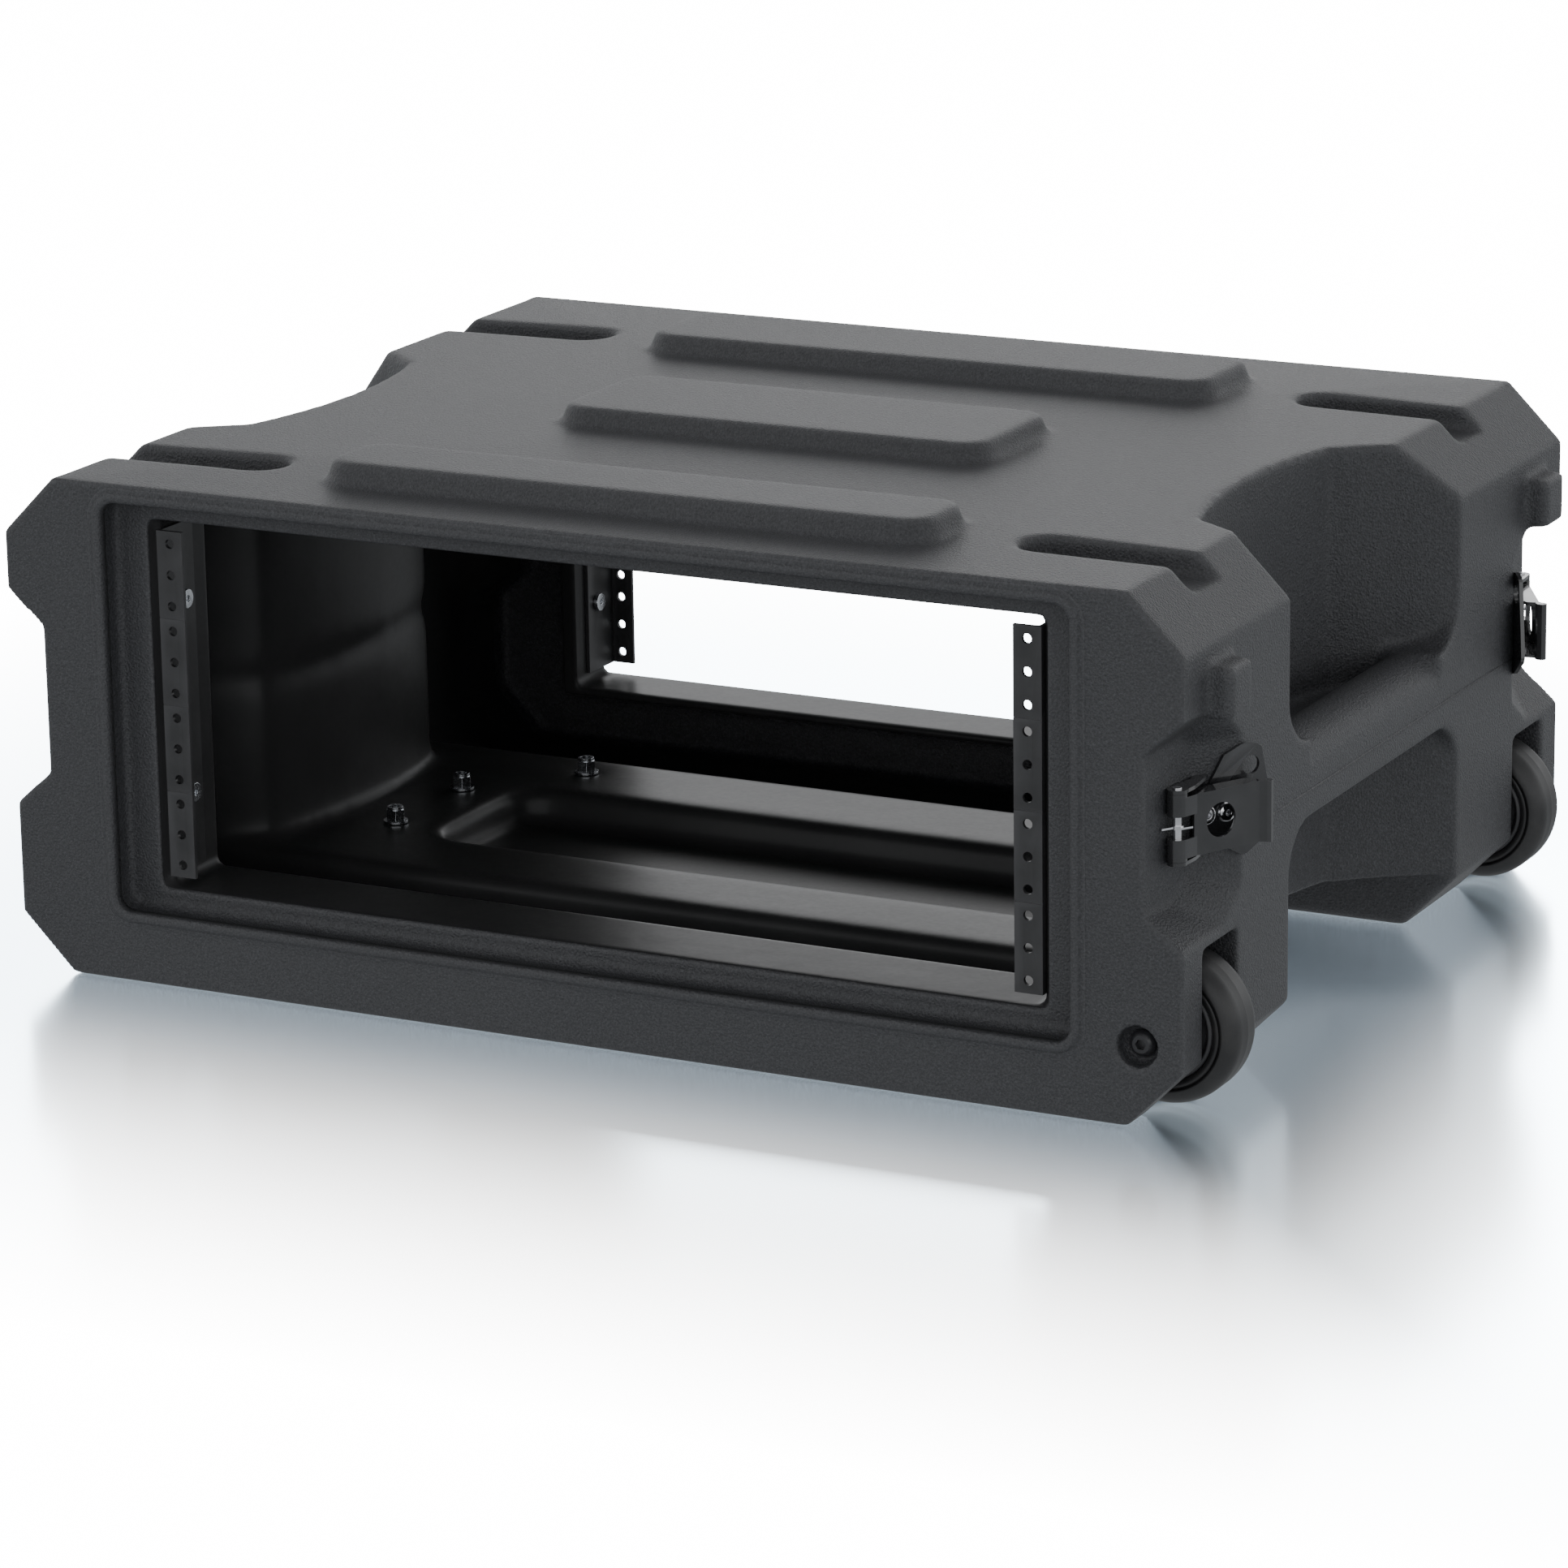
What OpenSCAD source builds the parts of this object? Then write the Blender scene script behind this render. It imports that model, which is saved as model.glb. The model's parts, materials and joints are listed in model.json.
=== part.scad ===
// Rotationally moulded rolling equipment rack case, four rack units high.
// Working coordinates inside the modules: x = 0 on the rack centreline, y = 0 on the
// front face of the shell and z = 0 on the ground under the rims. in_frame() moves them
// to the part frame, whose origin is the middle of the front rack hole pattern.
// +X is the wheeled side, +Y points to the back, +Z is up.

/* [Shell] */
// overall width of the rims, without wheels and bumpers
case_w = 637; // [560:1:700]
// overall depth, front face to rear face
case_d = 492; // [400:1:700]
// height of the rims
case_h = 256; // [230:1:300]
// moulded wall thickness
wall = 5; // [4:0.5:7]
// leg of the 45 degree corner chamfers of the rims
corner_leg = 29; // [15:1:40]
// depth of the front rim, front face to side pocket
front_rim_d = 127; // [90:1:160]
// depth of the rear rim, rear face to side pocket
rear_rim_d = 145; // [90:1:170]
// height of the underside between the two rims
under_z = 31; // [20:1:45]
// rise of the crowned top at the middle
crown = 3; // [0:0.5:12]

/* [Side pockets and handles] */
// distance from the centreline to the pocket wall at its deepest point
pocket_x = 252; // [245:1:275]
// top of the handle bar that closes the upper pocket
bar_top_z = 152; // [140:1:165]
// bottom of the finger pocket behind the bar
pocket_floor_z = 132; // [125:1:140]
// top of the open recess below the bar
lower_recess_z = 113; // [100:1:118]
// thickness of the handle bar, in x
bar_t = 36; // [25:1:45]

/* [Top and underside] */
// height of the raised ribs
rib_h = 12.5; // [6:0.5:16]
// radius of the rib ends, seen from above
rib_r = 18; // [8:1:24]
// width of the strap slots in the rims
slot_w = 29; // [18:1:36]
// depth of the strap slots
slot_depth = 12; // [6:1:16]
// mean distance from the centreline to the inner end of a slot
slot_end_x = 201; // [190:1:230]
// distance of the top pattern from the centreline, to the wheeled side
top_shift = 6; // [0:0.5:10]
// depth of the skid rib under the floor
skid_h = 18; // [8:1:20]

/* [Openings] */
// half width of the stepped opening at the face
step_half_w = 262; // [255:1:268]
// half width of the clear opening
open_half_w = 244; // [243:0.5:250]
// depth of the step
step_d = 14; // [8:1:20]
// depth of the liner that carries the rails
liner_d = 62; // [50:1:80]
// gap above and below the rack space
open_gap = 5.6; // [2:0.2:8]

/* [Rack rails] */
// rack units
rack_units = 4; // [2:1:6]
// bottom of the rack space above the ground
rack_z = 52.75; // [48:0.25:60]
// front rail face behind the front face
rail_setback = 16.5; // [10:0.5:30]
// rear rail face in front of the rear face
rear_rail_setback = 11.5; // [8:0.5:30]
// width between the rails
rail_gap = 450.85; // [450:0.05:451]
// spacing of the two hole columns
hole_span = 465.1; // [465:0.1:465.2]
// radius of the tapped rack holes
rack_hole_r = 2.42; // [2:0.01:3]
// rail sheet thickness
rail_t = 2; // [1.5:0.1:3]
// half distance between the rails' outer faces
rail_half_w = 240; // [238:0.5:242]
// depth of the rail's side flange
rail_flange = 30; // [20:1:40]

/* [Latches] */
// depth of the latch notch at the face
notch_depth = 20; // [12:1:25]
// depth of the notch where its ramp starts
ramp_depth = 16.5; // [10:0.5:20]
// distance from the face to the start of the ramp
ramp_y = 44; // [35:1:50]
// distance from the face to the end of the ramp
notch_len = 67.5; // [60:0.5:80]
// bottom of the notch floor at the face
notch_z0 = 104; // [95:1:115]
// top of the notch floor at the face
notch_z1 = 179; // [165:1:185]
// height of the latch centre line
latch_z = 141; // [135:0.5:150]
// distance of the hinge pin in front of the ramp's start, along the ramp
pin_s = 15.5; // [12:0.1:18]
// distance of the hinge pin outward from the ramp's plane
pin_n = 15; // [13:0.1:17]
// radius of the hinge pin
pin_r = 2.2; // [2:0.1:3]
// radius of the hinge knuckles
knuckle_r = 4.8; // [4:0.1:5]
// half height of the latch lever
lever_hz = 14.7; // [12:0.1:18]

/* [Wheels] */
// radius of the wheels
wheel_r = 37.5; // [30:0.5:40]
// width of the tyre
wheel_w = 30; // [20:1:36]
// axle distance from the centreline
axle_x = 295; // [285:0.5:300]
// axle height above the ground
axle_z = 39.5; // [34:0.5:42]
// distance of the wheel's middle from the face
wheel_y = 43.5; // [35:0.5:50]
// width of the wheel pocket
wheel_pocket_w = 41; // [34:1:50]
// radius of the axle bolt
axle_r = 4; // [3:0.5:6]
// running clearance on every moving shaft
run_gap = 0.05; // [0.02:0.01:0.1]

/* [Tow handle] */
// y of the first slide tube
tube_y0 = 168; // [150:1:180]
// y of the second slide tube
tube_y1 = 300; // [290:1:320]
// height of the slide tubes
tube_z = 22; // [15:0.1:22]
// outer radius of the fixed tubes
tube_r = 8; // [7:0.5:10]
// outer radius of the sliding tubes
rod_r = 6.6; // [5:0.1:8]
// length of the fixed tubes
tube_len = 410; // [300:5:450]

/* [Hidden] */
$fn = 64;
eps = 0.5;
half_w = case_w / 2;
front_pocket_y = front_rim_d;
rear_pocket_y = case_d - rear_rim_d;
rack_unit_h = 44.45;
rack_h = rack_units * rack_unit_h;
rack_mid_z = rack_z + rack_h / 2;
open_z0 = rack_z - open_gap;
open_z1 = rack_z + rack_h + open_gap;
step_z0 = open_z0 - 11;
step_z1 = open_z1 + 11;
bead_w = 5;
bead_h = 1.5;
groove_depth = 3;
floor_z = under_z + wall;
ramp_angle = atan(ramp_depth / (notch_len - ramp_y));
notch_out = 26.5;
// tilt and turn of the bevels that close the notch below and above
lower_bevel = [60.7, -22.7];
upper_bevel = [124.8, -33.7];
screw_r = 2.5;
screw_dz = 50;
rail_screw_y = 19.5;
rear_rail_y = case_d - rear_rail_setback;
front_rib = [163, 40, 88];
middle_rib = [118, 196, 280];
rear_rib = [161, 372, 438];
skid_rib = [192, 182, 286];
channel = [187, 187, 281];
front_slot_y = 67;
rear_slot_y = 406;
corner_fill_r = 26;
bumper_y = 26;
bumper_len = 29;
bumper_taper = 3;
bumper_z = 192;
bumper_h = 25;
bumper_out = 12;
boss_r = 19.5;
axle_head_depth = 9;
axle_head_r = 6.6;
axle_end_y = wheel_y + wheel_pocket_w / 2 + 3 * wall;
tow_bolts = [[-216, 197], [-216, 267], [-170, 321]];
tow_bolt_r = 3;
block_x = -248;
block_len = 150;
block_h = 17.5;
rivets = [8, 19];
rivet_z = -1;
rivet_r = 2.4;
plate_t = 2;
ear_z = [16.3, 18.1];
knuckle_z = [5.5, 16.2];

black_pe = [0.11, 0.11, 0.12];
black_metal = [0.05, 0.05, 0.055];
bright_metal = [0.75, 0.76, 0.78];
rubber_black = [0.07, 0.07, 0.07];
hub_grey = [0.16, 0.16, 0.17];
dark_plastic = [0.08, 0.08, 0.085];

// moves case coordinates to the part frame
module in_frame() {
    translate([0, -rail_setback, -rack_mid_z]) children();
}

// mirrors a front-right piece to the side sx and, with rear, to the back
module to_side(sx, rear) {
    translate([0, rear ? case_d : 0, 0])
        mirror_to(sx, rear) children();
}

module mirror_to(sx, rear) {
    mirror([sx < 0 ? 1 : 0, 0, 0])
        mirror([0, rear ? 1 : 0, 0]) children();
}

// points of a rectangle with rounded corners, centred on (cx, cy)
function rounded_rect(cx, cy, hw, hh, r, n = 5) = [
    for (q = [0:3], i = [0:n])
        let (a = 90 * q + 90 * i / n,
             sx = (q == 0 || q == 3) ? 1 : -1,
             sy = (q < 2) ? 1 : -1)
        [cx + sx * (hw - r) + r * cos(a), cy + sy * (hh - r) + r * sin(a)]
];

// points of an arc round (cx, cy) from angle a0 to a1
function arc(cx, cy, r, a0, a1, n = 10) = [
    for (i = [0:n]) let (a = a0 + (a1 - a0) * i / n) [cx + r * cos(a), cy + r * sin(a)]
];

// octagonal rim outline in x, z, inset by d
function rim_outline(d) =
    let (hw = half_w - d, z0 = d, z1 = case_h - d, c = corner_leg - d * (2 - sqrt(2)))
    [[-hw, z0 + c], [-hw + c, z0], [hw - c, z0], [hw, z0 + c],
     [hw, z1 - c], [hw - c, z1], [-hw + c, z1], [-hw, z1 - c]];

// extrudes an x, z outline along +y from y0 by len
module along_y(y0, len) {
    translate([0, y0 + len, 0]) rotate([90, 0, 0]) linear_extrude(len) children();
}

// height of the crowned top over the rim top, at distance t of a half span
function crown_at(t, half_span) = crown * (1 - pow(t / half_span, 2));

// shallow dome on top of the body, lowered by d
module crown_slab(d) {
    x_span = half_w - corner_leg - d;
    y_span = case_d / 2 - d;
    steps = 8;
    intersection() {
        along_y(d, case_d - 2 * d)
            polygon(concat(
                [[x_span, case_h - 3 * wall], [-x_span, case_h - 3 * wall]],
                [for (i = [-steps:steps])
                    [i * x_span / steps, case_h - d + crown_at(i, steps)]]));
        translate([-x_span, 0, 0]) rotate([90, 0, 90]) linear_extrude(2 * x_span)
            polygon(concat(
                [[case_d - d, case_h - 3 * wall], [d, case_h - 3 * wall]],
                [for (i = [-steps:steps])
                    [case_d / 2 + i * y_span / steps, case_h - d + crown_at(i, steps)]]));
    }
}

// plan of the right side pocket, grown into the body by e
function pocket_plan(e) =
    let (x_in = pocket_x - e,
         y0 = front_pocket_y - e,
         y1 = rear_pocket_y + e,
         bow = 12,
         n = 8)
    concat(
        [[half_w + 30, y0], [292, y0]],
        [for (i = [0:n])
            let (t = i / n, y = y0 + 18 + t * (y1 - y0 - 60))
            [x_in + bow * pow(2 * t - 1, 2), y]],
        [[290 - e / 2, y1 - 20], [half_w, y1], [half_w + 30, y1]]);

// a pocket open upwards, from z0
module upper_pocket(e) {
    translate([0, 0, pocket_floor_z - e]) linear_extrude(case_h + 40 - pocket_floor_z)
        polygon(pocket_plan(e));
}

// a recess open downwards, below the handle bar
module lower_pocket(e) {
    translate([0, 0, -eps]) linear_extrude(lower_recess_z + e + eps)
        polygon(pocket_plan(e));
}

// bar that closes the upper pocket and serves as the carrying handle
module handle_bar() {
    r = bar_t / 2;
    along_y(front_pocket_y - eps, rear_pocket_y - front_pocket_y + 2 * eps)
        polygon(concat([[half_w - bar_t, lower_recess_z], [half_w, lower_recess_z]],
                       arc(half_w - r, bar_top_z - r, r, 0, 180, 14)));
}

// raised rib [half length, y0, y1] from z0 up by h, with sloping walls
module rib(span, z0, h, draft) {
    y_mid = (span[1] + span[2]) / 2;
    hull() {
        translate([0, 0, z0]) linear_extrude(0.5)
            polygon(rounded_rect(0, y_mid, span[0] + draft, (span[2] - span[1]) / 2 + draft, rib_r));
        translate([0, 0, z0 + h - 0.5]) linear_extrude(0.5)
            polygon(rounded_rect(0, y_mid, span[0], (span[2] - span[1]) / 2, rib_r - draft));
    }
}

// slot that runs out through the top corner chamfer of the side sx, grown by e
module strap_slot(sx, y_mid, e) {
    w = slot_w / 2 + e;
    x_end = slot_end_x + sx * top_shift + slot_w / 2;
    translate([0, 0, case_h - slot_depth - e]) linear_extrude(slot_depth + 40)
        polygon(concat(arc(x_end, y_mid, w, 90, 270),
                       [[x_end + 150, y_mid - w], [x_end + 150, y_mid + w]]));
}

// the half space on the outer side of a plane through p, moved back by e
module beyond_plane(p, tilt, spin, e) {
    translate(p) rotate([0, tilt, spin]) translate([-100, -100, -e]) cube(200);
}

// latch notch of the front right corner: sloping floor, ramp and bevelled ends, grown by e
module latch_notch(e) {
    x_face = half_w - notch_depth - e;
    x_ramp = half_w - ramp_depth - 1.1 * e;
    x_end = half_w - 0.82 * e;
    y_end = notch_len + 0.55 * e;
    run = notch_depth + e + notch_out;
    intersection() {
        linear_extrude(case_h)
            polygon([[x_face, -15], [x_face, 0], [x_ramp, ramp_y], [x_end, y_end],
                     [half_w + notch_out, y_end], [half_w + notch_out, -15]]);
        along_y(-15, notch_len + 15 + e)
            polygon([[x_face, notch_z0 - e * 0.5], [x_face + run, notch_z0 - e * 0.5 - 0.85 * run],
                     [x_face + run, notch_z1 + e * 0.5 + 0.9 * run], [x_face, notch_z1 + e * 0.5]]);
        beyond_plane([half_w - ramp_depth, ramp_y, notch_z0 + 9], lower_bevel[0], lower_bevel[1], e);
        beyond_plane([half_w - ramp_depth, ramp_y, notch_z1 - 4], upper_bevel[0], upper_bevel[1], e);
    }
}

// pocket for the wheel of the front right corner, grown by e
module wheel_pocket(e) {
    r = wheel_r + 5 + e;
    along_y(wheel_y - wheel_pocket_w / 2 - e, wheel_pocket_w + 2 * e)
        polygon(concat([[axle_x - r, -2 * eps], [half_w + 50, -2 * eps], [half_w + 50, axle_z + r]],
                       arc(axle_x, axle_z, r, 90, 180)));
}

// rounds the corner between the handle bar and a rim, seen from the side; the open space
// lies in the directions dy and dz from the corner
module corner_fill(y_corner, z_corner, dy, dz) {
    steps = 8;
    back = bar_t / 2;
    r = corner_fill_r;
    translate([half_w - bar_t, 0, 0]) rotate([90, 0, 90]) linear_extrude(bar_t)
        polygon(concat(
            [[y_corner - dy * wall, z_corner - dz * back], [y_corner + dy * r, z_corner - dz * back]],
            [for (i = [0:steps])
                let (a = 90 * i / steps)
                [y_corner + dy * r * (1 - sin(a)), z_corner + dz * r * (1 - cos(a))]],
            [[y_corner - dy * wall, z_corner + dz * r]]));
}

// tapered block on the wheeled side that the case stands on when tipped up
module bumper() {
    x_root = half_w - 1;
    x_face = half_w + bumper_out;
    translate([0, 0, bumper_z]) linear_extrude(bumper_h)
        polygon([[x_root, bumper_y], [x_root, bumper_y + bumper_len],
                 [x_face - bumper_taper, bumper_y + bumper_len - 1],
                 [x_face, bumper_y + bumper_len - 1 - bumper_taper],
                 [x_face, bumper_y + 1 + bumper_taper], [x_face - bumper_taper, bumper_y + 1]]);
}

// solid core between the finger pocket and the lower recess; it leaves a groove inside
module bar_core() {
    translate([0, 0, lower_recess_z]) linear_extrude(pocket_floor_z - lower_recess_z)
        polygon(pocket_plan(wall - groove_depth));
}

module all_corners() {
    for (sx = [-1, 1], rear = [false, true]) to_side(sx, rear) children();
}

module wheel_corners() {
    for (rear = [false, true]) to_side(1, rear) children();
}

module shell_outside() {
    difference() {
        union() {
            along_y(0, case_d) polygon(rim_outline(0));
            crown_slab(0);
        }
        for (sx = [-1, 1]) mirror_to(sx, false) {
            upper_pocket(0);
            lower_pocket(0);
            strap_slot(sx, front_slot_y, 0);
            strap_slot(sx, rear_slot_y, 0);
        }
        translate([-half_w, front_pocket_y + 2, -eps])
            cube([case_w, rear_pocket_y - front_pocket_y - 2, under_z + eps]);
        all_corners() latch_notch(0);
        wheel_corners() wheel_pocket(0);
    }
    for (sx = [-1, 1]) mirror_to(sx, false) {
        handle_bar();
        for (z = [[bar_top_z, 1], [lower_recess_z, -1]]) {
            corner_fill(front_pocket_y, z[0], 1, z[1]);
            corner_fill(rear_pocket_y, z[0], -1, z[1]);
        }
    }
    for (span = [front_rib, middle_rib, rear_rib])
        translate([top_shift, 0, 0]) rib(span, case_h, rib_h, 4);
    translate([0, 0, under_z + wall / 2]) mirror([0, 0, 1]) rib(skid_rib, 0, skid_h + wall / 2, 3);
    wheel_corners() bumper();
    for (rear = [false, true]) to_side(1, rear)
        opening_bead();
}

// raised lip round the opening
module opening_bead() {
    hz = (step_z1 - step_z0) / 2;
    mz = (step_z1 + step_z0) / 2;
    along_y(-bead_h, bead_h + wall) difference() {
        polygon(rounded_rect(0, mz, step_half_w + bead_w, hz + bead_w, 14));
        polygon(rounded_rect(0, mz, step_half_w, hz, 9));
    }
}

module shell_inside() {
    difference() {
        union() {
            along_y(wall, case_d - 2 * wall) polygon(rim_outline(wall));
            crown_slab(wall);
        }
        for (sx = [-1, 1]) mirror_to(sx, false) {
            upper_pocket(wall);
            lower_pocket(wall);
            bar_core();
            strap_slot(sx, front_slot_y, wall);
            strap_slot(sx, rear_slot_y, wall);
        }
        translate([-half_w, front_pocket_y + 2 - wall, -eps])
            cube([case_w, rear_pocket_y - front_pocket_y - 2 + 2 * wall, floor_z + eps]);
        all_corners() latch_notch(wall);
        wheel_corners() {
            wheel_pocket(wall);
            axle_boss();
        }
        liner_block(false, liner_d);
        liner_block(true, liner_d - 8);
    }
    translate([0, 0, floor_z + eps]) mirror([0, 0, 1]) rib(channel, 0, skid_h + eps, 1);
    for (span = [front_rib, middle_rib, rear_rib])
        translate([top_shift, 0, 0]) rib_hollow(span, rib_h);
}

// hollow under a top rib
module rib_hollow(span, h) {
    translate([-span[0] + wall, span[1] + wall, case_h - 2 * wall])
        cube([2 * (span[0] - wall), span[2] - span[1] - 2 * wall, h + wall]);
}

// solid material round the axle bolt inside the rim
module axle_boss() {
    translate([axle_x, wheel_y, axle_z]) rotate([90, 0, 0]) cylinder(h = wheel_y, r = boss_r);
}

// solid block that leaves the stepped frame and the rail liner when opened
module liner_block(rear, depth) {
    hw = step_half_w + wall;
    to_side(1, rear) {
        translate([-hw, 0, step_z0 - wall])
            cube([2 * hw, step_d + wall, step_z1 - step_z0 + 2 * wall]);
        translate([-open_half_w - wall, 0, open_z0 - wall])
            cube([2 * (open_half_w + wall), depth, open_z1 - open_z0 + 2 * wall]);
    }
}

// clear space of the stepped opening and the liner
module opening(rear, depth) {
    mz = (step_z1 + step_z0) / 2;
    to_side(1, rear) {
        along_y(-10, 10 + step_d)
            polygon(rounded_rect(0, mz, step_half_w, (step_z1 - step_z0) / 2, 9));
        along_y(0, step_d + 6)
            polygon(rounded_rect(0, mz, open_half_w, (open_z1 - open_z0) / 2, 4));
        along_y(0, depth + 1)
            polygon(rounded_rect(0, mz, rail_half_w, (open_z1 - open_z0) / 2, 4));
    }
}

// screw holes of one rail side flange, through the liner
module rail_screw_axes(rear) {
    y = rear ? rear_rail_y - rail_screw_y : rail_setback + rail_screw_y;
    for (dz = [-screw_dz, screw_dz])
        translate([rail_half_w, y, rack_mid_z + dz]) rotate([0, 90, 0]) children();
}

module shell() {
    color(black_pe) in_frame() difference() {
        shell_outside();
        shell_inside();
        opening(false, liner_d);
        opening(true, liner_d - 8);
        for (sx = [-1, 1], rear = [false, true]) mirror_to(sx, false)
            rail_screw_axes(rear) translate([0, 0, -5]) cylinder(h = 30, r = screw_r + 0.2);
        wheel_corners() translate([axle_x, axle_end_y + 10, axle_z]) rotate([90, 0, 0]) {
            cylinder(h = axle_end_y + 20, r = axle_r + 0.2);
            translate([0, 0, axle_end_y + 10 - axle_head_depth]) cylinder(h = 20, r = 10);
        }
        all_corners() ramp_frame() for (s = rivets)
            translate([-2 * wall, s, rivet_z]) rotate([0, 90, 0])
                cylinder(h = 3 * wall, r = rivet_r + 0.1);
        for (p = tow_bolts) translate([p[0], p[1], under_z - 5]) cylinder(h = 15, r = tow_bolt_r + 0.2);
    }
}

// L-section rail of the right side; mirrored for the left
module rail_body(rear) {
    z0 = rack_z;
    y_face = rear ? rear_rail_y : rail_setback;
    dir = rear ? -1 : 1;
    x_in = rail_gap / 2;
    difference() {
        union() {
            translate([x_in, min(y_face, y_face + dir * rail_t), z0])
                cube([rail_half_w - x_in, rail_t, rack_h]);
            translate([rail_half_w - rail_t, min(y_face, y_face + dir * rail_flange), z0])
                cube([rail_t, rail_flange, rack_h]);
        }
        for (u = [0:rack_units - 1], h = [6.35, 22.225, 38.1])
            translate([hole_span / 2, y_face - 5, z0 + u * rack_unit_h + h])
                rotate([-90, 0, 0]) cylinder(h = 10, r = rack_hole_r);
        if (!rear) for (u = [1:rack_units - 1])
            translate([x_in - 1, y_face - 0.3, z0 + u * rack_unit_h - 0.3])
                cube([rail_half_w - x_in + 2, 0.6, 0.6]);
        rail_screw_axes(rear) translate([0, 0, -10]) cylinder(h = 20, r = screw_r + 0.2);
    }
}

module rail_front_right() { color(black_metal) in_frame() rail_body(false); }
module rail_front_left() { color(black_metal) in_frame() mirror([1, 0, 0]) rail_body(false); }
module rail_rear_right() { color(black_metal) in_frame() rail_body(true); }
module rail_rear_left() { color(black_metal) in_frame() mirror([1, 0, 0]) rail_body(true); }

module rail_screws() {
    color(bright_metal) in_frame()
        for (sx = [-1, 1], rear = [false, true]) mirror_to(sx, false)
            rail_screw_axes(rear) {
                translate([0, 0, -rail_t - 2.6]) difference() {
                    cylinder(h = 2.6, r = 5);
                    translate([0, 0, -1]) cylinder(h = 2.4, r = 1.6, $fn = 6);
                }
                translate([0, 0, -rail_t - 0.1]) cylinder(h = rail_t + 2 * wall + 4.1, r = screw_r);
            }
}

module rail_nuts() {
    color(bright_metal) in_frame()
        for (sx = [-1, 1], rear = [false, true]) mirror_to(sx, false)
            rail_screw_axes(rear) translate([0, 0, 2 * wall - 1]) difference() {
                union() {
                    cylinder(h = 1, r = 7);
                    cylinder(h = 4, r = 5, $fn = 6);
                }
                translate([0, 0, -1]) cylinder(h = 8, r = screw_r);
            }
}

// frame of a wheel: z along the axle towards the back, origin at the wheel's middle
module wheel_frame(rear) {
    in_frame() to_side(1, rear) translate([axle_x, wheel_y, axle_z]) rotate([-90, 0, 0])
        children();
}

module tyre(rear) {
    round_r = 8;
    flat = wheel_w / 2 - round_r;
    color(rubber_black) wheel_frame(rear) rotate_extrude($fn = 96)
        polygon(concat(
            [[25, -wheel_w / 2 + 2], [25, wheel_w / 2 - 2], [27, wheel_w / 2]],
            [for (i = [0:6]) [wheel_r - round_r + round_r * sin(15 * i), flat + round_r * cos(15 * i)]],
            [for (i = [6:-1:0])
                [wheel_r - round_r + round_r * sin(15 * i), -flat - round_r * cos(15 * i)]],
            [[27, -wheel_w / 2]]));
}

module hub(rear) {
    hw = wheel_w / 2;
    barrel = wheel_pocket_w / 2 - 2;
    color(hub_grey) wheel_frame(rear) rotate_extrude($fn = 96)
        polygon([[6 + run_gap, -barrel], [11, -barrel], [13, -hw + 5], [21, -hw + 5],
                 [23, -hw + 1], [25, -hw + 2], [25, hw - 2], [23, hw - 1],
                 [21, hw - 5], [13, hw - 5], [11, barrel], [6 + run_gap, barrel]]);
}

// spacer tube that the hub turns on
module axle_sleeve(rear) {
    color(bright_metal) wheel_frame(rear)
        translate([0, 0, -wheel_pocket_w / 2]) difference() {
            cylinder(h = wheel_pocket_w, r = 6);
            translate([0, 0, -1]) cylinder(h = wheel_pocket_w + 2, r = axle_r + 0.02);
        }
}

module axle_washers(rear) {
    color(bright_metal) wheel_frame(rear)
        for (z = [-wheel_pocket_w / 2, wheel_pocket_w / 2 - 1.5])
            translate([0, 0, z]) difference() {
                cylinder(h = 1.5, r = 10);
                translate([0, 0, -1]) cylinder(h = 4, r = 6.02);
            }
}

module axle_bolt(rear) {
    head_h = 4.5;
    seat = -wheel_y + axle_head_depth;
    color(black_metal) wheel_frame(rear) {
        translate([0, 0, seat - 0.1])
            cylinder(h = wheel_pocket_w / 2 + wall + 10 - seat, r = axle_r);
        translate([0, 0, seat - head_h]) difference() {
            rotate_extrude()
                polygon([[0, 0], [4.2, 0], [5.6, 0.9], [axle_head_r, 2.6], [axle_head_r, head_h], [0, head_h]]);
            translate([0, 0, -1]) cylinder(h = 3.8, r = 2.7, $fn = 6);
        }
    }
}

module axle_nut(rear) {
    color(bright_metal) wheel_frame(rear)
        translate([0, 0, wheel_pocket_w / 2 + wall]) difference() {
            union() {
                cylinder(h = 1.5, r = 9);
                cylinder(h = 8, r = 7.5, $fn = 6);
            }
            translate([0, 0, -1]) cylinder(h = 10, r = axle_r);
        }
}

module tyre_front() { tyre(false); }
module tyre_rear() { tyre(true); }
module hub_front() { hub(false); }
module hub_rear() { hub(true); }
module axle_sleeve_front() { axle_sleeve(false); }
module axle_sleeve_rear() { axle_sleeve(true); }
module axle_washers_front() { axle_washers(false); }
module axle_washers_rear() { axle_washers(true); }
module axle_bolt_front() { axle_bolt(false); }
module axle_bolt_rear() { axle_bolt(true); }
module axle_nut_front() { axle_nut(false); }
module axle_nut_rear() { axle_nut(true); }

// frame of the front right latch: x out of the ramp, y along it, z up, origin where the
// ramp starts, at the height of the latch's centre line
module ramp_frame() {
    translate([half_w - ramp_depth, ramp_y, latch_z]) rotate([0, 0, -ramp_angle]) children();
}

module latch_frame(sx, rear) {
    in_frame() to_side(sx, rear) ramp_frame() children();
}

// the same at the hinge pin
module pin_frame() {
    translate([pin_n, -pin_s, 0]) children();
}

// a piece between two heights, above and below the centre line
module both_sides(z) {
    for (side = [0, 1]) mirror([0, 0, side]) translate([0, 0, z[0]])
        linear_extrude(z[1] - z[0]) children();
}

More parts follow.
